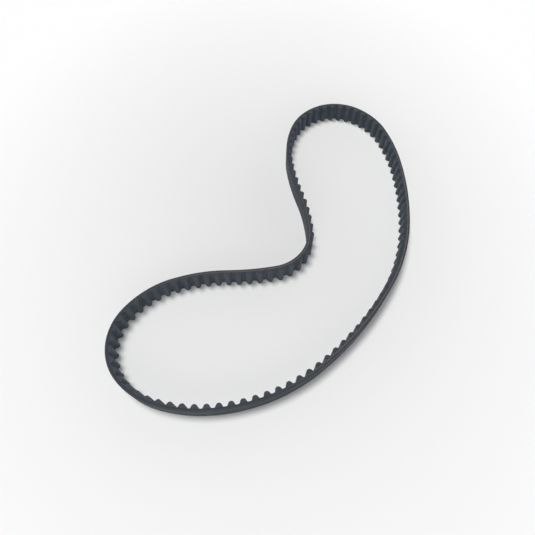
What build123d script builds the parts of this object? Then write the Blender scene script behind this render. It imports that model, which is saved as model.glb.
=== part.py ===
from build123d import *
import math
import os

# One endless synchronous belt, standing on a cut edge with its width along Z.
# Millimetres. Stations are measured along the pitch line, clockwise seen from above.
# Depths are measured from the pitch line: inwards is positive, towards the teeth.

TOOTH_PITCH = 9.525
TOOTH_COUNT = 104
BELT_WIDTH = 19.05

TOOTH_HEIGHT = 3.4
TIP_RADIUS = 2.55
ROOT_RADIUS = 0.9
FLANK_ANGLE = 24.0
ROOT_CREASE = 10.0
FIRST_TOOTH = 1.3

LAND_DEPTH = 0.686
BACK_DEPTH = -1.8
FACING_THICKNESS = 0.2
CORD_DIAMETER = 0.9
CORD_TURNS = 20
CORD_FLATS = 8
GUM_MARGIN = 0.05

# The free shape of the loop: each bend turns the pitch line by so many degrees, on a
# radius in mm. Left turns are positive. The three None radii close the loop at its length.
LOOP_BENDS = [
    (-44, 54), (-58, 46), (-36, 65), (-15, 167), (-15, None), (-23, 176),
    (-20, 282), (-35, 160), (-19, 125), (-33, 65), (-76, 45), (-35, None),
    (-19, 152), (10, 250), (82, 39), (15, 172), (-10, None), (-29, 101),
]
START_HEADING = 68.7

PITCH_LENGTH = TOOTH_PITCH * TOOTH_COUNT
FABRIC_DEPTH = LAND_DEPTH - FACING_THICKNESS
GUM_DEPTH = -CORD_DIAMETER / 2 - GUM_MARGIN
CORD_SPACING = BELT_WIDTH / (CORD_TURNS - 1)


def bend_step(heading, turn):
    """Where a bend of unit radius ends, seen from its start, and its unit length."""
    a = math.radians(heading)
    b = math.radians(heading + turn)
    side = math.copysign(1.0, turn)
    east = side * (math.sin(b) - math.sin(a))
    north = side * (math.cos(a) - math.cos(b))
    return east, north, abs(b - a)


def determinant(rows):
    """Determinant of a three by three matrix."""
    (a, b, c), (d, e, f), (g, h, i) = rows
    return a * (e * i - f * h) - b * (d * i - f * g) + c * (d * h - e * g)


def closed_radii():
    """All bend radii, with the free three solved for closure and pitch length."""
    heading = START_HEADING
    free = []
    target = [0.0, 0.0, PITCH_LENGTH]
    for index, (turn, radius) in enumerate(LOOP_BENDS):
        step = bend_step(heading, turn)
        if radius is None:
            free.append((index, step))
        else:
            target = [have - radius * part for have, part in zip(target, step)]
        heading += turn
    columns = [step for _, step in free]
    whole = determinant(columns)
    radii = [radius for _, radius in LOOP_BENDS]
    for place, (index, _) in enumerate(free):
        swapped = list(columns)
        swapped[place] = target
        radii[index] = determinant(swapped) / whole
    return radii


def lay_bends(radii):
    """Each bend as (first station, start point, heading, signed radius, length)."""
    bends = []
    x, y, station, heading = 0.0, 0.0, 0.0, START_HEADING
    for (turn, _), radius in zip(LOOP_BENDS, radii):
        east, north, unit_length = bend_step(heading, turn)
        length = radius * unit_length
        bends.append((station, x, y, heading, math.copysign(radius, turn), length))
        x += radius * east
        y += radius * north
        station += length
        heading += turn
    return bends


BENDS = lay_bends(closed_radii())


def loop_point(station, depth):
    """The point at a station on the loop, so far inwards of the pitch line."""
    station %= PITCH_LENGTH
    first, x, y, heading, radius, _ = [b for b in BENDS if b[0] <= station + 1e-9][-1]
    a = math.radians(heading)
    b = a + (station - first) / radius
    x += radius * (math.sin(b) - math.sin(a))
    y += radius * (math.cos(a) - math.cos(b))
    return x + depth * math.sin(b), y - depth * math.cos(b)


def arc_through(points):
    """A circular arc through three (station, depth) points of the loop."""
    return ThreePointArc(*[loop_point(station, depth) for station, depth in points])


def loop_run(start, end, depth):
    """Arcs that follow the loop from one station to a later one, at one depth."""
    laps = math.floor(start / PITCH_LENGTH)
    joints = [b[0] + lap * PITCH_LENGTH for lap in (laps, laps + 1) for b in BENDS]
    stops = [start] + [s for s in joints if start + 1e-6 < s < end - 1e-6] + [end]
    arcs = []
    for a, b in zip(stops, stops[1:]):
        arcs.append(arc_through([(a, depth), ((a + b) / 2, depth), (b, depth)]))
    return arcs


def loop_wire(depth):
    """The whole loop at one depth, as one closed wire of arcs."""
    return Wire(loop_run(0.0, PITCH_LENGTH, depth))


def upright(outer, holes):
    """A flat face between wires, raised to the belt's full width."""
    return extrude(Face(outer, holes), amount=BELT_WIDTH, dir=(0, 0, 1))


def tooth_points(skin):
    """One flank of a tooth, from its land to its crown, as (along, depth) points.

    The skin is taken off the surface, so 0 gives the facing's outside and the
    facing's thickness gives the rubber under it. The root circle is cut by the land
    at a slight crease, so the rubber under the skin doesn't end in a feather edge.
    """
    flank = math.radians(FLANK_ANGLE)
    land = LAND_DEPTH - skin
    tip_radius = TIP_RADIUS - skin
    root_radius = ROOT_RADIUS + skin
    tip_depth = LAND_DEPTH + TOOTH_HEIGHT - TIP_RADIUS
    root_depth = LAND_DEPTH + ROOT_RADIUS * math.cos(math.radians(ROOT_CREASE))
    across = (TIP_RADIUS + ROOT_RADIUS) / math.cos(flank)
    root_along = across + (tip_depth - root_depth) * math.tan(flank)
    root_start = math.acos((root_depth - land) / root_radius)
    root_end = math.pi / 2 - flank
    root = []
    for angle in (root_start, (root_start + root_end) / 2, root_end):
        root.append((root_along - root_radius * math.sin(angle), root_depth - root_radius * math.cos(angle)))
    tip = []
    for angle in (flank, (flank + math.pi / 2) / 2, math.pi / 2):
        tip.append((tip_radius * math.cos(angle), tip_depth + tip_radius * math.sin(angle)))
    return root, tip


def tooth_edges(number, skin):
    """The profile of one tooth as edges, laid on the loop, with its two end stations."""
    centre = FIRST_TOOTH + number * TOOTH_PITCH
    root, tip = tooth_points(skin)
    sides = []
    for side in (-1, 1):
        sides.append([[(centre + side * along, depth) for along, depth in part] for part in (root, tip)])
    (left_root, left_tip), (right_root, right_tip) = sides
    edges = [
        arc_through(left_root),
        Line(loop_point(*left_root[-1]), loop_point(*left_tip[0])),
        arc_through(left_tip),
        arc_through(right_tip),
        Line(loop_point(*right_tip[0]), loop_point(*right_root[-1])),
        arc_through(right_root),
    ]
    return edges, left_root[0][0], right_root[0][0]


def toothed_wire(skin):
    """The closed inner outline of the belt: every tooth, with the lands between."""
    teeth = [tooth_edges(number, skin) for number in range(TOOTH_COUNT)]
    edges = []
    for number, (profile, _, end) in enumerate(teeth):
        following = teeth[(number + 1) % TOOTH_COUNT][1]
        if following < end:
            following += PITCH_LENGTH
        edges += profile
        edges += loop_run(end, following, LAND_DEPTH - skin)
    return Wire(edges)


def backing():
    """The smooth rubber back, outside the cords."""
    return upright(loop_wire(BACK_DEPTH), [loop_wire(GUM_DEPTH)])


def whole_cord_turn(height):
    """One whole lap of cord inside the belt, its round section drawn with eight flats."""
    path = Pos(0, 0, height) * loop_wire(0.0)
    start = Plane(path.position_at(0), x_dir=(0, 0, 1), z_dir=path.tangent_at(0))
    section = Rot(0, 0, 180 / CORD_FLATS) * RegularPolygon(CORD_DIAMETER / 2, CORD_FLATS)
    return sweep(start * section, path=path)


def sliced_cord_turn(height):
    """The half lap of cord that the knife leaves in a cut edge, as a flat strip."""
    radius = CORD_DIAMETER / 2
    strip = Face(loop_wire(-radius), [loop_wire(radius)])
    return Pos(0, 0, height) * extrude(strip, amount=radius, dir=(0, 0, 1))


def cord_turn(number):
    """One lap of cord. The first and last laps are sliced by the cut edges."""
    if number == 0:
        return sliced_cord_turn(0.0)
    if number == CORD_TURNS - 1:
        return sliced_cord_turn(BELT_WIDTH - CORD_DIAMETER / 2)
    return whole_cord_turn(number * CORD_SPACING)


def cord_gum(cords):
    """The layer of gum that the cords lie in, from the backing to the facing."""
    layer = upright(loop_wire(GUM_DEPTH), [loop_wire(FABRIC_DEPTH)])
    return layer - cords


def tooth_rubber():
    """The rubber core of every tooth, each a separate solid on the gum."""
    cores = []
    for number in range(TOOTH_COUNT):
        profile, start, end = tooth_edges(number, FACING_THICKNESS)
        outline = Wire(profile + loop_run(start, end, FABRIC_DEPTH))
        cores.append(upright(outline, []).solid())
    return Compound(cores)


def tooth_facing():
    """The fabric skin over the teeth and the lands between them."""
    return upright(toothed_wire(FACING_THICKNESS), [toothed_wire(0.0)])


def main():
    """Build every piece, centre the belt on its own axes and write the files."""
    os.makedirs("parts", exist_ok=True)
    cords = [cord_turn(number) for number in range(CORD_TURNS)]
    pieces = {
        "backing_rubber": backing(),
        "cord_gum": cord_gum(cords),
        "tooth_rubber": tooth_rubber(),
        "tooth_facing": tooth_facing(),
    }
    for number, cord in enumerate(cords):
        twist = "s" if number % 2 == 0 else "z"
        pieces[f"{twist}_cord_turn_{number + 1:02d}"] = cord
    middle = pieces["backing_rubber"].bounding_box().center()
    print("loop centre", middle)
    for name, piece in pieces.items():
        export_step(Pos(-middle.X, -middle.Y, 0) * piece, f"parts/{name}.step")


main()
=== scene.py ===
import logging
import math
from dataclasses import dataclass, field
from enum import Enum

import bmesh
import bpy
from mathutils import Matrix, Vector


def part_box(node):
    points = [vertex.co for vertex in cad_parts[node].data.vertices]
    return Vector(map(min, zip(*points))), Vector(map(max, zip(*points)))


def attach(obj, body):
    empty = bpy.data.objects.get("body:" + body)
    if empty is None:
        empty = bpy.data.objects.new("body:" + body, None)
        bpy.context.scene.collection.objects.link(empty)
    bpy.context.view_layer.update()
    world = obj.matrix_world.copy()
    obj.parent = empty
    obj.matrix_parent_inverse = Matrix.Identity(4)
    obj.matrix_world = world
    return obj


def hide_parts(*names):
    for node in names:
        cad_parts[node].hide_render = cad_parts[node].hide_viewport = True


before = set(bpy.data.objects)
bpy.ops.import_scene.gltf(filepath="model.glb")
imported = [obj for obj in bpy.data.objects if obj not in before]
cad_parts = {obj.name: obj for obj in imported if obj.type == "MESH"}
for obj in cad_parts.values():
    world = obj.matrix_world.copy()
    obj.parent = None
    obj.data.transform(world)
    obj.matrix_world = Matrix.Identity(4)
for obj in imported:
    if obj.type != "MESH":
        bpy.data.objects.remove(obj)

LOG = logging.getLogger("timing_belt")
MM = 0.001
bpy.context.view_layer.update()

STATION_GAP = 1.0 * MM
OUTLINE_GAP = 0.5 * MM
SHARP_ANGLE = math.radians(35.0)
EDGE_NODES = ("s_cord_turn_01", "z_cord_turn_20")

Point = tuple[float, float]
Row = list[tuple[float, float, float]]


class Edge(Enum):
    """The two cut edges of the belt."""

    LOWER = "lower"
    UPPER = "upper"


def linear(hex_colour: str) -> tuple[float, float, float, float]:
    """Turn an sRGB hex colour into linear light.

    Args:
        hex_colour: six hex digits, such as "30363c".

    Returns:
        Red, green, blue and an alpha of 1.
    """
    parts = []
    for start in (0, 2, 4):
        value = int(hex_colour[start:start + 2], 16) / 255
        parts.append(value / 12.92 if value <= 0.04045 else ((value + 0.055) / 1.055) ** 2.4)
    return (parts[0], parts[1], parts[2], 1.0)


def add_node(tree: bpy.types.NodeTree, kind: str, inputs: dict | None = None,
             **settings: object) -> bpy.types.Node:
    """Add a shader node with its settings, values and links.

    Args:
        tree: the node tree to add to.
        kind: the node's type, without the leading "ShaderNode".
        inputs: socket name or index to a value, or to a (node, output) pair to link.
        **settings: properties of the node itself.

    Returns:
        The new node.
    """
    node = tree.nodes.new("ShaderNode" + kind)
    for name, value in settings.items():
        setattr(node, name, value)
    for name, value in (inputs or {}).items():
        if isinstance(value, tuple) and isinstance(value[0], bpy.types.Node):
            tree.links.new(value[0].outputs[value[1]], node.inputs[name])
        else:
            node.inputs[name].default_value = value
    return node


def colour_ramp(tree: bpy.types.NodeTree, factor: tuple,
                stops: list[tuple[float, str]]) -> bpy.types.Node:
    """Add a ramp between hex colours.

    Args:
        tree: the node tree to add to.
        factor: the (node, output) pair that drives it.
        stops: (position, hex colour) pairs in order.

    Returns:
        The ramp node.
    """
    ramp = add_node(tree, "ValToRGB", {"Fac": factor})
    elements = ramp.color_ramp.elements
    while len(elements) < len(stops):
        elements.new(0.5)
    for element, (position, colour) in zip(elements, stops):
        element.position = position
        element.color = linear(colour)
    return ramp


def band_scale(spacing_mm: float) -> float:
    """Scale of a wave pattern whose bands lie so many millimetres apart."""
    return math.pi / (10 * spacing_mm * MM)


def drive_roughness(tree: bpy.types.NodeTree, shader: bpy.types.Node, factor: tuple,
                    low: float, high: float) -> None:
    """Let a pattern vary a surface's roughness.

    Args:
        tree: the material's node tree.
        shader: its surface shader.
        factor: the (node, output) pair that drives it, from 0 to 1.
        low: roughness where the pattern is 0.
        high: roughness where the pattern is 1.
    """
    rough = add_node(tree, "MapRange", {"Value": factor, "To Min": low, "To Max": high})
    tree.links.new(rough.outputs["Result"], shader.inputs["Roughness"])


def raise_relief(tree: bpy.types.NodeTree, shader: bpy.types.Node, height: tuple,
                 strength: float, depth_mm: float) -> None:
    """Let a pattern dent a surface.

    Args:
        tree: the material's node tree.
        shader: its surface shader.
        height: the (node, output) pair that gives the height, from 0 to 1.
        strength: how much of the relief shows, from 0 to 1.
        depth_mm: how deep the pattern goes, in millimetres.
    """
    relief = add_node(tree, "Bump", {
        "Height": height, "Strength": strength, "Distance": depth_mm * MM})
    tree.links.new(relief.outputs["Normal"], shader.inputs["Normal"])


# Materials


@dataclass(frozen=True)
class Finish:
    """One finish: its name and the values of a plain dielectric surface."""

    name: str
    roughness: float
    ior: float = 1.5
    specular: float = 0.25

    def build(self) -> bpy.types.Material:
        """Make the material, with this finish's own nodes.

        Returns:
            The material.
        """
        material = bpy.data.materials.new(self.name)
        material.use_nodes = True
        tree = material.node_tree
        shader = tree.nodes["Principled BSDF"]
        shader.inputs["IOR"].default_value = self.ior
        shader.inputs["Roughness"].default_value = self.roughness
        shader.inputs["Specular IOR Level"].default_value = self.specular
        self.dress(tree, shader)
        return material

    def dress(self, tree: bpy.types.NodeTree, shader: bpy.types.Node) -> None:
        """Add this finish's colour, roughness and relief; the plain finish adds none."""


@dataclass(frozen=True)
class MouldedGroundRubber(Finish):
    """Synthetic rubber back, moulded and ground to thickness.

    Grinding leaves a dull, very finely scratched face across the width, with faint
    lighter dust in the scratches.
    """

    dark: str = "2a3138"
    light: str = "3d4751"
    grit_mm: float = 0.35
    grit_stretch: float = 0.06
    scratch_depth_mm: float = 0.06
    patch_scale: float = 55.0

    def dress(self, tree: bpy.types.NodeTree, shader: bpy.types.Node) -> None:
        """Add the ground scratches, dust and slow colour change.

        Args:
            tree: the material's node tree.
            shader: its surface shader.
        """
        belt = add_node(tree, "UVMap", uv_map="belt")
        scratch_map = add_node(tree, "Mapping", {
            "Vector": (belt, "UV"), "Scale": (
                1 / (self.grit_mm * MM), self.grit_stretch / (self.grit_mm * MM), 1.0)})
        scratches = add_node(tree, "TexNoise", {
            "Vector": (scratch_map, "Vector"), "Scale": 1.0, "Detail": 5.0, "Roughness": 0.6})
        where = add_node(tree, "TexCoord")
        patches = add_node(tree, "TexNoise", {
            "Vector": (where, "Object"), "Scale": self.patch_scale, "Detail": 4.0, "Roughness": 0.55})
        blend = add_node(tree, "Math", {
            0: (scratches, "Fac"), 1: (patches, "Fac")}, operation="MULTIPLY")
        colour = colour_ramp(tree, (blend, "Value"), [(0.12, self.dark), (0.42, self.light)])
        tree.links.new(colour.outputs["Color"], shader.inputs["Base Color"])
        drive_roughness(tree, shader, (scratches, "Fac"), self.roughness - 0.08, self.roughness + 0.1)
        raise_relief(tree, shader, (scratches, "Fac"), 0.35, self.scratch_depth_mm)


@dataclass(frozen=True)
class KnifeCutRubber(Finish):
    """Rubber slit with a knife while it turns on a drum.

    The cut face is smoother than the ground back, a little bluish, and carries fine
    score lines that run along the belt.
    """

    dark: str = "262e36"
    light: str = "363f4a"
    score_mm: float = 0.22
    score_stretch: float = 0.02
    score_depth_mm: float = 0.05
    mottle_scale: float = 140.0

    def dress(self, tree: bpy.types.NodeTree, shader: bpy.types.Node) -> None:
        """Add the knife's score lines and a mottled colour.

        Args:
            tree: the material's node tree.
            shader: its surface shader.
        """
        belt = add_node(tree, "UVMap", uv_map="belt")
        score_map = add_node(tree, "Mapping", {
            "Vector": (belt, "UV"), "Scale": (
                self.score_stretch / (self.score_mm * MM), 1 / (self.score_mm * MM), 1.0)})
        scores = add_node(tree, "TexNoise", {
            "Vector": (score_map, "Vector"), "Scale": 1.0, "Detail": 4.0, "Roughness": 0.55})
        where = add_node(tree, "TexCoord")
        mottle = add_node(tree, "TexNoise", {
            "Vector": (where, "Object"), "Scale": self.mottle_scale, "Detail": 5.0, "Roughness": 0.6})
        blend = add_node(tree, "Math", {0: (scores, "Fac"), 1: (mottle, "Fac")}, operation="MULTIPLY")
        colour = colour_ramp(tree, (blend, "Value"), [(0.1, self.dark), (0.45, self.light)])
        tree.links.new(colour.outputs["Color"], shader.inputs["Base Color"])
        drive_roughness(tree, shader, (mottle, "Fac"), self.roughness - 0.1, self.roughness + 0.1)
        raise_relief(tree, shader, (scores, "Fac"), 0.3, self.score_depth_mm)


@dataclass(frozen=True)
class WovenNylonFacing(Finish):
    """Stretch nylon twill, dipped in rubber cement and moulded over the teeth.

    Its threads show as a fine matt grid, slightly green-grey where the cement is thin
    on the crowns. The thread spacing is assumed.
    """

    valley: str = "333d46"
    crown: str = "4b565f"
    thread_mm: float = 0.225
    thread_depth_mm: float = 0.09
    cement_scale: float = 90.0
    sheen: float = 0.12
    sheen_roughness: float = 0.5

    def dress(self, tree: bpy.types.NodeTree, shader: bpy.types.Node) -> None:
        """Add the twill's threads and the cement's uneven cover.

        Args:
            tree: the material's node tree.
            shader: its surface shader.
        """
        belt = add_node(tree, "UVMap", uv_map="belt")
        heights = []
        for direction in ("X", "Y"):
            wave = add_node(tree, "TexWave", {
                "Vector": (belt, "UV"), "Scale": band_scale(self.thread_mm),
                "Distortion": 0.6, "Detail": 2.0, "Detail Scale": 1.5},
                wave_type="BANDS", bands_direction=direction, wave_profile="SIN")
            heights.append(wave)
        weave = add_node(tree, "Math", {
            0: (heights[0], "Fac"), 1: (heights[1], "Fac")}, operation="MULTIPLY")
        where = add_node(tree, "TexCoord")
        cement = add_node(tree, "TexNoise", {
            "Vector": (where, "Object"), "Scale": self.cement_scale, "Detail": 4.0, "Roughness": 0.6})
        shade = add_node(tree, "Math", {
            0: (weave, "Value"), 1: 0.35, 2: (cement, "Fac")}, operation="MULTIPLY_ADD")
        colour = colour_ramp(tree, (shade, "Value"), [(0.35, self.valley), (0.85, self.crown)])
        tree.links.new(colour.outputs["Color"], shader.inputs["Base Color"])
        drive_roughness(tree, shader, (cement, "Fac"), self.roughness - 0.1, self.roughness + 0.1)
        raise_relief(tree, shader, (weave, "Value"), 0.5, self.thread_depth_mm)
        shader.inputs["Sheen Weight"].default_value = self.sheen
        shader.inputs["Sheen Roughness"].default_value = self.sheen_roughness


@dataclass(frozen=True)
class SlicedGlassCord(Finish):
    """Twisted glass fibre in brown latex dip, sliced open by the knife.

    It shows as a thin brown line, clear on two stretches of the lap and smeared with
    rubber on the others. Where the clear stretches lie is tuned for the look.
    """

    fibre: str = "6f625d"
    dip: str = "4f4744"
    smeared: str = "2f343a"
    strand_mm: float = 0.25
    strand_depth_mm: float = 0.08
    strand_slant: float = 0.5
    smear_scale: float = 60.0
    smear_patches: float = 1.6
    lopsided: float = 0.4
    bare_from: float = 0.35
    bare_to: float = 1.35
    lap_m: float = 1.0
    opened_at: float = 0.3

    def dress(self, tree: bpy.types.NodeTree, shader: bpy.types.Node) -> None:
        """Add the twisted strands and the rubber smeared over part of the lap.

        Args:
            tree: the material's node tree.
            shader: its surface shader.
        """
        belt = add_node(tree, "UVMap", uv_map="belt")
        slant = add_node(tree, "Mapping", {
            "Vector": (belt, "UV"), "Rotation": (0.0, 0.0, self.strand_slant)})
        strands = add_node(tree, "TexWave", {
            "Vector": (slant, "Vector"), "Scale": band_scale(self.strand_mm),
            "Distortion": 1.5, "Detail": 3.0, "Detail Scale": 2.0},
            wave_type="BANDS", bands_direction="X")
        fibres = colour_ramp(tree, (strands, "Fac"), [(0.2, self.dip), (0.8, self.fibre)])
        split = add_node(tree, "SeparateXYZ", {"Vector": (belt, "UV")})
        once = add_node(tree, "Math", {
            0: (split, "X"), 1: 2 * math.pi / self.lap_m, 2: -2 * math.pi * self.opened_at},
            operation="MULTIPLY_ADD")
        twice = add_node(tree, "Math", {0: (once, "Value"), 1: 2.0}, operation="MULTIPLY")
        climb = add_node(tree, "Math", {0: (once, "Value")}, operation="COSINE")
        sway = add_node(tree, "Math", {0: (twice, "Value")}, operation="COSINE")
        opened = add_node(tree, "Math", {
            0: (climb, "Value"), 1: self.lopsided, 2: (sway, "Value")}, operation="MULTIPLY_ADD")
        patches = add_node(tree, "TexNoise", {
            "Vector": (belt, "UV"), "Scale": self.smear_scale, "Detail": 4.0, "Roughness": 0.65})
        bare = add_node(tree, "Math", {
            0: (patches, "Fac"), 1: self.smear_patches, 2: (opened, "Value")},
            operation="MULTIPLY_ADD")
        cover = add_node(tree, "MapRange", {
            "Value": (bare, "Value"), "From Min": self.bare_from, "From Max": self.bare_to,
            "To Min": 0.0, "To Max": 1.0})
        mix = add_node(tree, "Mix", {
            0: (cover, "Result"), 6: linear(self.smeared), 7: (fibres, "Color")}, data_type="RGBA")
        tree.links.new(mix.outputs[2], shader.inputs["Base Color"])
        raise_relief(tree, shader, (strands, "Fac"), 0.5, self.strand_depth_mm)


@dataclass(frozen=True)
class DippedGlassCord(Finish):
    """Whole glass-fibre cord in brown latex dip, as it lies inside the belt."""

    fibre: str = "8a6a55"
    dip: str = "6a4f40"
    strand_mm: float = 0.5
    strand_depth_mm: float = 0.05

    def dress(self, tree: bpy.types.NodeTree, shader: bpy.types.Node) -> None:
        """Add the strands' uneven colour.

        Args:
            tree: the material's node tree.
            shader: its surface shader.
        """
        where = add_node(tree, "TexCoord")
        strands = add_node(tree, "TexNoise", {
            "Vector": (where, "Object"), "Scale": 1 / (self.strand_mm * MM), "Detail": 3.0})
        colour = colour_ramp(tree, (strands, "Fac"), [(0.3, self.dip), (0.7, self.fibre)])
        tree.links.new(colour.outputs["Color"], shader.inputs["Base Color"])
        raise_relief(tree, shader, (strands, "Fac"), 0.4, self.strand_depth_mm)


@dataclass(frozen=True)
class StudioPaper(Finish):
    """Pale matt paper of a light table, with painted light: its colour is darker in the middle and
    brightens away from it, standing in for uneven light on the table.
    """

    # Painted light: the paper is painted darker in the middle and brighter at the rim, in place of
    # uneven light.
    middle: str = "e2e2e2"
    painted_light_rim: str = "fcfcfc"
    reach_m: tuple[float, float, float] = (0.345, 0.44, 1.0)
    lean_m: float = 0.07

    def dress(self, tree: bpy.types.NodeTree, shader: bpy.types.Node) -> None:
        """Add the painted light: the paper's colour brightens slowly away from the middle.

        Args:
            tree: the material's node tree.
            shader: its surface shader.
        """
        where = add_node(tree, "TexCoord")
        ball = add_node(tree, "Mapping", {
            "Vector": (where, "Object"), "Location": (0.0, self.lean_m, 0.0),
            "Scale": self.reach_m}, vector_type="TEXTURE")
        away = add_node(tree, "VectorMath", {0: (ball, "Vector")}, operation="LENGTH")
        # Painted light: the colour brightens from the middle to the rim, standing in for uneven light
        # on the table.
        colour = colour_ramp(tree, (away, "Value"), [(0.0, self.middle), (1.0, self.painted_light_rim)])
        tree.links.new(colour.outputs["Color"], shader.inputs["Base Color"])


# The loop and its tooth profile


@dataclass
class BeltLoop:
    """The pitch line of the belt as a chain of tangent bends, in metres.

    Each bend is a turn in degrees and a radius in millimetres. The bends, the start
    heading and the first tooth are rounded results of a curve fit, not set by hand.
    """

    pitch: float = 9.525 * MM
    teeth: int = 104
    start_heading: float = 68.7
    bends: list[tuple[float, float | None]] = field(default_factory=lambda: [
        (-44, 54), (-58, 46), (-36, 65), (-15, 167), (-15, None), (-23, 176),
        (-20, 282), (-35, 160), (-19, 125), (-33, 65), (-76, 45), (-35, None),
        (-19, 152), (10, 250), (82, 39), (15, 172), (-10, None), (-29, 101)])
    back: float = 1.8 * MM
    laid: list[tuple[float, float, float, float, float]] = field(default_factory=list)
    middle: Point = (0.0, 0.0)

    def __post_init__(self) -> None:
        """Close the loop, then centre it on the belt's own axes."""
        self.lay(self.closed_radii())
        outline = [self.point(station, -self.back) for station in self.even_stations(OUTLINE_GAP)]
        xs = [x for x, _ in outline]
        ys = [y for _, y in outline]
        self.middle = ((min(xs) + max(xs)) / 2, (min(ys) + max(ys)) / 2)

    @property
    def length(self) -> float:
        """The pitch length, in metres."""
        return self.pitch * self.teeth

    def even_stations(self, gap: float) -> list[float]:
        """Stations all round the loop, about a gap apart."""
        count = round(self.length / gap)
        return [self.length * number / count for number in range(count)]

    @staticmethod
    def bend_step(heading: float, turn: float) -> tuple[float, float, float]:
        """Where a bend of unit radius ends, and its length.

        Args:
            heading: direction at its start, in degrees.
            turn: how far it turns, in degrees; left is positive.

        Returns:
            East, north and length.
        """
        a, b = math.radians(heading), math.radians(heading + turn)
        side = math.copysign(1.0, turn)
        return side * (math.sin(b) - math.sin(a)), side * (math.cos(a) - math.cos(b)), abs(b - a)

    def closed_radii(self) -> list[float]:
        """Solve the three free radii so that the loop closes at its pitch length.

        Returns:
            Every bend's radius, in metres.
        """
        heading = self.start_heading
        target = [0.0, 0.0, self.length]
        columns = []
        for turn, radius in self.bends:
            step = self.bend_step(heading, turn)
            if radius is None:
                columns.append(step)
            else:
                target = [have - radius * MM * part for have, part in zip(target, step)]
            heading += turn
        whole = self.determinant(columns)
        solved = []
        for place in range(3):
            swapped = list(columns)
            swapped[place] = target
            solved.append(self.determinant(swapped) / whole)
        free = iter(solved)
        return [next(free) if radius is None else radius * MM for _, radius in self.bends]

    @staticmethod
    def determinant(rows: list) -> float:
        """Determinant of a three by three matrix."""
        (a, b, c), (d, e, f), (g, h, i) = rows
        return a * (e * i - f * h) - b * (d * i - f * g) + c * (d * h - e * g)

    def lay(self, radii: list[float]) -> None:
        """Place every bend after the one before it.

        Args:
            radii: every bend's radius, in metres.
        """
        x, y, station, heading = 0.0, 0.0, 0.0, self.start_heading
        for (turn, _), radius in zip(self.bends, radii):
            east, north, unit = self.bend_step(heading, turn)
            self.laid.append((station, x, y, math.radians(heading), math.copysign(radius, turn)))
            x += radius * east
            y += radius * north
            station += radius * unit
            heading += turn

    def point(self, station: float, depth: float) -> Point:
        """The point at a station, so far inwards of the pitch line.

        Args:
            station: distance along the pitch line, in metres.
            depth: distance inwards, towards the teeth, in metres.

        Returns:
            Its x and y.
        """
        station %= self.length
        start, x, y, heading, radius = [bend for bend in self.laid if bend[0] <= station + 1e-12][-1]
        turned = heading + (station - start) / radius
        x += radius * (math.sin(turned) - math.sin(heading)) + depth * math.sin(turned)
        y += radius * (math.cos(heading) - math.cos(turned)) - depth * math.cos(turned)
        return x - self.middle[0], y - self.middle[1]


@dataclass
class ToothForm:
    """The curved tooth, as its facing's outside, in metres.

    The CAD tooth also has a slight crease where its root meets the land. It is left
    out here, which moves the surface by 0.02 mm at most.
    """

    height: float = 3.4 * MM
    tip_radius: float = 2.55 * MM
    root_radius: float = 0.9 * MM
    flank: float = math.radians(24.0)
    land: float = 0.686 * MM
    first: float = 1.3 * MM
    root_steps: int = 5
    tip_steps: int = 9

    def half(self, skin: float) -> list[Point]:
        """One side of the tooth from its land to its crown.

        Args:
            skin: how far under the facing's outside.

        Returns:
            (along, depth) points.
        """
        tip_radius, root_radius = self.tip_radius - skin, self.root_radius + skin
        tip_depth = self.land + self.height - self.tip_radius
        root_depth = self.land + self.root_radius
        across = (self.tip_radius + self.root_radius) / math.cos(self.flank)
        root_along = across + (tip_depth - root_depth) * math.tan(self.flank)
        sweep = math.pi / 2 - self.flank
        points = []
        for step in range(self.root_steps + 1):
            angle = sweep * step / self.root_steps
            along = root_along - root_radius * math.sin(angle)
            points.append((along, root_depth - root_radius * math.cos(angle)))
        for step in range(self.tip_steps + 1):
            angle = self.flank + sweep * step / self.tip_steps
            points.append((tip_radius * math.cos(angle), tip_depth + tip_radius * math.sin(angle)))
        return points

    def outline(self, skin: float) -> list[Point]:
        """The whole tooth from its left root to its right root, as (along, depth)."""
        half = self.half(skin)
        return [(-along, depth) for along, depth in half[:-1]] + half[::-1]


# Mesh helpers


def closed_band(name: str, rows: list[Row], materials: list[bpy.types.Material],
                cut_rows: set[int], stations: list[float], lap: float) -> bpy.types.Object:
    """Join rows of points that each go once round the loop into a closed band.

    Args:
        name: the object's name.
        rows: rows in order round the section, each with one point a station.
        materials: the side material, then the cut material.
        cut_rows: rows whose strip to the next row lies in a cut edge.
        stations: the station of each point, for the pattern's coordinates.
        lap: the pitch length, where the last point joins the first.

    Returns:
        The object, in the scene.
    """
    mesh = bmesh.new()
    layer = mesh.loops.layers.uv.new("belt")
    grid = [[mesh.verts.new(point) for point in row] for row in rows]
    count = len(stations)
    climb = [0.0]
    for here, after in zip(rows, rows[1:] + rows[:1]):
        climb.append(climb[-1] + math.dist(here[0], after[0]))
    for index in range(len(rows)):
        after = (index + 1) % len(rows)
        for place in range(count):
            following = (place + 1) % count
            face = mesh.faces.new((grid[index][place], grid[index][following],
                                   grid[after][following], grid[after][place]))
            face.material_index = 1 if index in cut_rows else 0
            face.smooth = True
            end = stations[following] if following else lap + stations[0]
            corners = ((stations[place], climb[index]), (end, climb[index]),
                       (end, climb[index + 1]), (stations[place], climb[index + 1]))
            for loop, corner in zip(face.loops, corners):
                loop[layer].uv = corner
    return finish_mesh(name, mesh, materials)


def finish_mesh(name: str, mesh: bmesh.types.BMesh,
                materials: list[bpy.types.Material]) -> bpy.types.Object:
    """Turn a bmesh into a scene object with outward faces.

    Args:
        name: the object's name.
        mesh: the shape; it is freed.
        materials: its materials in slot order.

    Returns:
        The object.
    """
    bmesh.ops.recalc_face_normals(mesh, faces=mesh.faces)
    data = bpy.data.meshes.new(name)
    mesh.to_mesh(data)
    mesh.free()
    for material in materials:
        data.materials.append(material)
    data.set_sharp_from_angle(angle=SHARP_ANGLE)
    piece = bpy.data.objects.new(name, data)
    bpy.context.scene.collection.objects.link(piece)
    return piece


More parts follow.
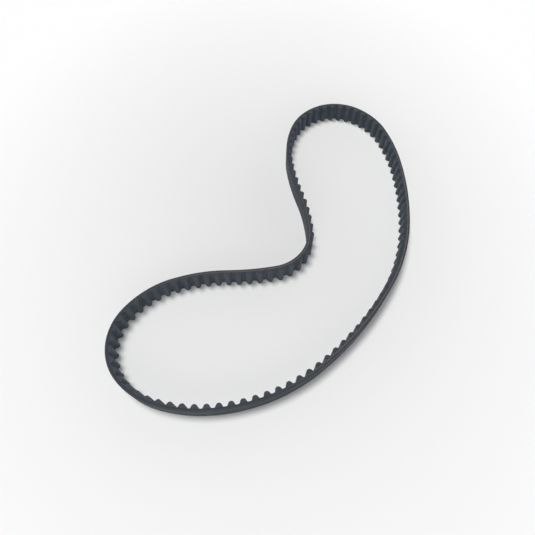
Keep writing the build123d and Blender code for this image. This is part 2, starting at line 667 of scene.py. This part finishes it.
def hand_over(piece: bpy.types.Object, slot: str, *nodes: str) -> None:
    """Ride a piece on the belt, hide the nodes it stands for and log them.

    Args:
        piece: the finished piece.
        slot: its material slot; not used.
        *nodes: the CAD nodes that it replaces.
    """
    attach(piece, "root")
    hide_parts(*nodes)
    LOG.info("%s: %d faces, replaces %s", piece.name, len(piece.data.polygons), ", ".join(nodes))


# The belt


@dataclass
class TimingBelt:
    """The whole belt: back, gum, sliced and whole cords, tooth cores and facing."""

    loop: BeltLoop
    tooth: ToothForm
    width: float
    facing: float = 0.2 * MM
    cord_radius: float = 0.45 * MM
    gum_back: float = -0.5 * MM
    corner: float = 0.18 * MM
    waver: float = 0.03 * MM
    cord_gap: float = 0.01 * MM
    cord_sink: float = 0.02 * MM
    cord_flattening: float = 0.95
    fray: float = 0.04 * MM

    def knife(self, station: float, edge: Edge) -> float:
        """Height of a cut edge; the knife wavers a little as the sleeve turns.

        Args:
            station: where along the belt.
            edge: which cut edge.

        Returns:
            The height above the table, in metres.
        """
        turn = 2 * math.pi * station / self.loop.length
        ripples = ((1.0, 7, 0.0), (0.6, 19, 1.0), (0.4, 43, 0.0))
        sway = sum(size * math.sin(waves * turn + start) for size, waves, start in ripples) / 2
        if edge is Edge.LOWER:
            return 0.0
        return self.width - self.waver * (0.5 + 0.5 * sway)

    def band_row(self, stations: list[float], depth: float, edge: Edge, inset: float) -> Row:
        """One row round the loop at a depth, so far in from a cut edge."""
        sign = 1.0 if edge is Edge.LOWER else -1.0
        return [(*self.loop.point(s, depth), self.knife(s, edge) + sign * inset) for s in stations]

    def make_backing(self, ground: Finish, cut: Finish) -> bpy.types.Object:
        """Build the smooth back with softened cut corners.

        Args:
            ground: finish of the outside.
            cut: finish of the cut edges.

        Returns:
            The piece.
        """
        stations = self.loop.even_stations(STATION_GAP)
        back = -self.loop.back
        rows = [self.band_row(stations, self.gum_back, Edge.LOWER, 0.0)]
        steps = [math.pi / 2 * number / 4 for number in range(5)]
        for edge, angles in ((Edge.LOWER, steps), (Edge.UPPER, steps[::-1])):
            for angle in angles:
                depth = back + self.corner * (1 - math.sin(angle))
                rows.append(self.band_row(stations, depth, edge, self.corner * (1 - math.cos(angle))))
            if edge is Edge.LOWER:
                for share in (0.25, 0.5, 0.75):
                    rows.append(self.band_row(stations, back, edge, share * self.width))
        rows.append(self.band_row(stations, self.gum_back, Edge.UPPER, 0.0))
        cut_rows = {0, len(rows) - 2}
        piece = closed_band("back_of_belt", rows, [ground.build(), cut.build()], cut_rows,
                            stations, self.loop.length)
        hand_over(piece, "backing_rubber", "backing_rubber")
        return piece

    def make_gum(self, cut: Finish) -> bpy.types.Object:
        """Build the gum layer, grooved where the knife sliced a cord.

        Args:
            cut: finish of the cut edges.

        Returns:
            The piece.
        """
        stations = self.loop.even_stations(STATION_GAP)
        front = self.tooth.land - self.facing
        groove = [math.pi * number / 6 for number in range(7)]
        rows = [self.band_row(stations, front, Edge.LOWER, 0.0)]
        for angle in groove:
            rows.append(self.band_row(stations, self.cord_radius * math.cos(angle), Edge.LOWER,
                                      self.cord_radius * math.sin(angle)))
        rows.append(self.band_row(stations, self.gum_back, Edge.LOWER, 0.0))
        rows.append(self.band_row(stations, self.gum_back, Edge.UPPER, 0.0))
        for angle in groove[::-1]:
            rows.append(self.band_row(stations, self.cord_radius * math.cos(angle), Edge.UPPER,
                                      self.cord_radius * math.sin(angle)))
        rows.append(self.band_row(stations, front, Edge.UPPER, 0.0))
        material = cut.build()
        piece = closed_band("gum_round_cords", rows, [material, material], set(),
                            stations, self.loop.length)
        hand_over(piece, "cord_gum", "cord_gum")
        return piece

    def make_sliced_cord(self, edge: Edge, node: str, finish: Finish) -> bpy.types.Object:
        """Build the half cord that shows in a cut edge as a ridged brown line.

        Args:
            edge: which cut edge it lies in.
            node: the CAD node it stands for.
            finish: finish of the sliced fibres.

        Returns:
            The piece.
        """
        stations = self.loop.even_stations(STATION_GAP)
        radius = self.cord_radius - self.cord_gap
        rows = []
        for share in (1.0, 0.6, 0.2, -0.2, -0.6, -1.0):
            rows.append(self.band_row(stations, radius * share, edge, self.cord_sink))
        for number in range(1, 6):
            angle = math.pi * number / 6
            deep = self.cord_sink + radius * math.sin(angle) * self.cord_flattening
            rows.append(self.band_row(stations, -radius * math.cos(angle), edge, deep))
        material = finish.build()
        piece = closed_band(f"sliced_cord_{edge.value}", rows, [material, material], set(),
                            stations, self.loop.length)
        hand_over(piece, "tensile_cord", node)
        return piece

    def tooth_row(self, skin: float) -> tuple[list[float], list[float]]:
        """Stations and depths of the toothed surface, once round the loop.

        Args:
            skin: how far under the facing's outside.

        Returns:
            The stations, and the depth at each.
        """
        outline = self.tooth.outline(skin)
        stations, depths = [], []
        for number in range(self.loop.teeth):
            centre = self.tooth.first + number * self.loop.pitch
            stations.append(centre - self.loop.pitch / 2)
            depths.append(self.tooth.land - skin)
            for along, depth in outline:
                stations.append(centre + along)
                depths.append(depth)
        return stations, depths

    def make_facing(self, woven: Finish, cut: Finish) -> bpy.types.Object:
        """Build the woven skin over every tooth and land.

        Args:
            woven: finish of the facing.
            cut: finish of its cut edges.

        Returns:
            The piece.
        """
        fray = self.fray
        plan = [(self.facing, Edge.LOWER, 0.0), (fray, Edge.LOWER, 0.0), (0.0, Edge.LOWER, fray)]
        plan += [(0.0, Edge.LOWER, share * self.width) for share in (0.2, 0.4, 0.6, 0.8)]
        plan += [(0.0, Edge.UPPER, fray), (fray, Edge.UPPER, 0.0), (self.facing, Edge.UPPER, 0.0)]
        rows = []
        for skin, edge, inset in plan:
            stations, depths = self.tooth_row(skin)
            sign = 1.0 if edge is Edge.LOWER else -1.0
            rows.append([(*self.loop.point(s, d), self.knife(s, edge) + sign * inset)
                         for s, d in zip(stations, depths)])
        stations, depths = self.tooth_row(0.0)
        travel = [0.0]
        for place in range(1, len(stations)):
            travel.append(travel[-1] + math.hypot(stations[place] - stations[place - 1],
                                                  depths[place] - depths[place - 1]))
        lap = travel[-1] + self.loop.pitch / 2 - max(along for along, _ in self.tooth.outline(0.0))
        piece = closed_band("tooth_facing_cloth", rows, [woven.build(), cut.build()],
                            {0, len(rows) - 2}, travel, lap)
        hand_over(piece, "facing_fabric", "tooth_facing")
        return piece

    def make_cores(self, cut: Finish) -> bpy.types.Object:
        """Build the rubber core of every tooth, each its own closed shape.

        Args:
            cut: finish of the cut faces.

        Returns:
            The piece.
        """
        mesh = bmesh.new()
        layer = mesh.loops.layers.uv.new("belt")
        outline = self.tooth.outline(self.facing)
        floor = self.tooth.land - self.facing
        reach = max(along for along, _ in outline)
        base = [(reach * share, floor) for share in (0.5, 0.0, -0.5)]
        for number in range(self.loop.teeth):
            centre = self.tooth.first + number * self.loop.pitch
            shape = [(centre + along, depth) for along, depth in outline + base]
            low, high = [], []
            for station, depth in shape:
                x, y = self.loop.point(station, depth)
                low.append(mesh.verts.new((x, y, self.knife(station, Edge.LOWER))))
                high.append(mesh.verts.new((x, y, self.knife(station, Edge.UPPER))))
            faces = [(mesh.faces.new(low[::-1]), shape[::-1]), (mesh.faces.new(high), shape)]
            for face, corners in faces:
                for loop, corner in zip(face.loops, corners):
                    loop[layer].uv = corner
            for place in range(len(shape)):
                after = (place + 1) % len(shape)
                mesh.faces.new((low[place], low[after], high[after], high[place]))
        piece = finish_mesh("tooth_cores", mesh, [cut.build()])
        hand_over(piece, "tooth_rubber", "tooth_rubber")
        return piece

    def dress_whole_cords(self, finish: Finish) -> None:
        """Give the cords inside the belt their finish; the sliced laps are built apart.

        Args:
            finish: finish of a whole cord.
        """
        material = finish.build()
        for name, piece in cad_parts.items():
            if "cord_turn" in name and name not in EDGE_NODES:
                for slot in piece.material_slots:
                    slot.material = material
                LOG.info("%s: dressed as %s", name, material.name)


# The studio


# How far above the table the pale wall ends and the dark of the room begins.
WALL_FOOT = math.radians(14.0)
WALL_HEAD = math.radians(34.0)


@dataclass
class Studio:
    """A pale table, soft light from the upper left and the camera."""

    target: tuple[float, float, float] = (-0.0033, -0.03282, 0.0)
    distance: float = 0.3997
    elevation: float = math.radians(61.72)
    lens: float = 28.47
    table: float = 3.0
    table_gap: float = 0.1 * MM
    sensor: float = 36.0
    near: float = 0.01

    def make_table(self, paper: Finish) -> bpy.types.Object:
        """Lay the pale table under the belt.

        Args:
            paper: its finish.

        Returns:
            The table.
        """
        mesh = bmesh.new()
        bmesh.ops.create_grid(mesh, x_segments=8, y_segments=8, size=self.table)
        floor = finish_mesh("studio_table", mesh, [paper.build()])
        floor.location = (self.target[0], self.target[1], -self.table_gap)
        return floor

    def make_light(self, name: str, tilt: float, heading: float, softness: float, power: float,
                   shadow: bool = True) -> None:
        """Hang one even, soft light far above the table.

        Args:
            name: its name.
            tilt: how far it leans from straight down, in degrees.
            heading: the side it comes from, anticlockwise from the right, in degrees.
            softness: the angle that it spans, in degrees.
            power: its strength, in watts a square metre.
            shadow: whether it casts shadows; a broad fill casts none.
        """
        data = bpy.data.lights.new(name, "SUN")
        data.angle = math.radians(softness)
        data.energy = power
        data.use_shadow = shadow
        lamp = bpy.data.objects.new(name, data)
        lamp.rotation_euler = (math.radians(tilt), 0.0, math.radians(heading + 90.0))
        lamp.location = (0.0, 0.0, 1.0)
        bpy.context.scene.collection.objects.link(lamp)

    def make_room(self, horizon: float, zenith: float) -> None:
        """Surround the table with a pale wall that darkens overhead.

        Args:
            horizon: brightness of the wall, up to WALL_FOOT above the table.
            zenith: brightness above WALL_HEAD, where the room is dark.
        """
        world = bpy.data.worlds.new("studio_room")
        world.use_nodes = True
        tree = world.node_tree
        where = add_node(tree, "TexCoord")
        split = add_node(tree, "SeparateXYZ", {"Vector": (where, "Generated")})
        fade = add_node(tree, "MapRange", {
            "Value": (split, "Z"), "From Min": math.sin(WALL_FOOT), "From Max": math.sin(WALL_HEAD),
            "To Min": horizon, "To Max": zenith}, interpolation_type="SMOOTHSTEP")
        shade = tree.nodes["Background"]
        shade.inputs["Color"].default_value = (1.0, 1.0, 1.0, 1.0)
        tree.links.new(fade.outputs["Result"], shade.inputs["Strength"])
        bpy.context.scene.world = world

    def make_camera(self) -> None:
        """Look at the belt from the front and above."""
        data = bpy.data.cameras.new("studio_camera")
        data.lens = self.lens
        data.sensor_width = self.sensor
        data.clip_start = self.near
        camera = bpy.data.objects.new("studio_camera", data)
        back = self.distance * math.cos(self.elevation)
        up = self.distance * math.sin(self.elevation)
        camera.location = (self.target[0], self.target[1] - back, self.target[2] + up)
        camera.rotation_euler = (math.pi / 2 - self.elevation, 0.0, 0.0)
        bpy.context.scene.collection.objects.link(camera)
        bpy.context.scene.camera = camera


def main() -> None:
    """Build the studio, then the belt from its back to its facing."""
    logging.basicConfig(level=logging.INFO)
    bpy.context.scene.view_settings.view_transform = "Standard"
    studio = Studio()
    studio.make_camera()
    studio.make_room(horizon=0.72, zenith=0.04)
    studio.make_light("soft_key", tilt=14.5, heading=146.0, softness=20.0, power=2.15)
    studio.make_light("back_sheen", tilt=58.0, heading=75.0, softness=30.0, power=0.8, shadow=False)
    studio.make_light("front_fill", tilt=70.0, heading=-90.0, softness=60.0, power=0.65, shadow=False)
    # The table's paper carries painted light: its colour brightens away from the middle.
    studio.make_table(StudioPaper("table_paper_painted_light", roughness=0.9, specular=0.1))
    low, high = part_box("backing_rubber")
    belt = TimingBelt(BeltLoop(), ToothForm(), width=high[2] - low[2])
    ground = MouldedGroundRubber("ground_synthetic_rubber", roughness=0.62)
    cut = KnifeCutRubber("knife_cut_rubber", roughness=0.55, specular=0.25)
    gum = KnifeCutRubber("knife_cut_gum", roughness=0.6, dark="2f3338", light="41434a")
    woven = WovenNylonFacing("woven_nylon_facing", roughness=0.7)
    sliced = SlicedGlassCord("sliced_glass_cord", roughness=0.7, lap_m=belt.loop.length)
    belt.make_backing(ground, cut)
    belt.make_gum(gum)
    belt.make_sliced_cord(Edge.LOWER, EDGE_NODES[0], sliced)
    belt.make_sliced_cord(Edge.UPPER, EDGE_NODES[1], sliced)
    belt.make_cores(cut)
    belt.make_facing(woven, cut)
    belt.dress_whole_cords(DippedGlassCord("dipped_glass_cord", roughness=0.6))


if __name__ == "__main__":
    main()
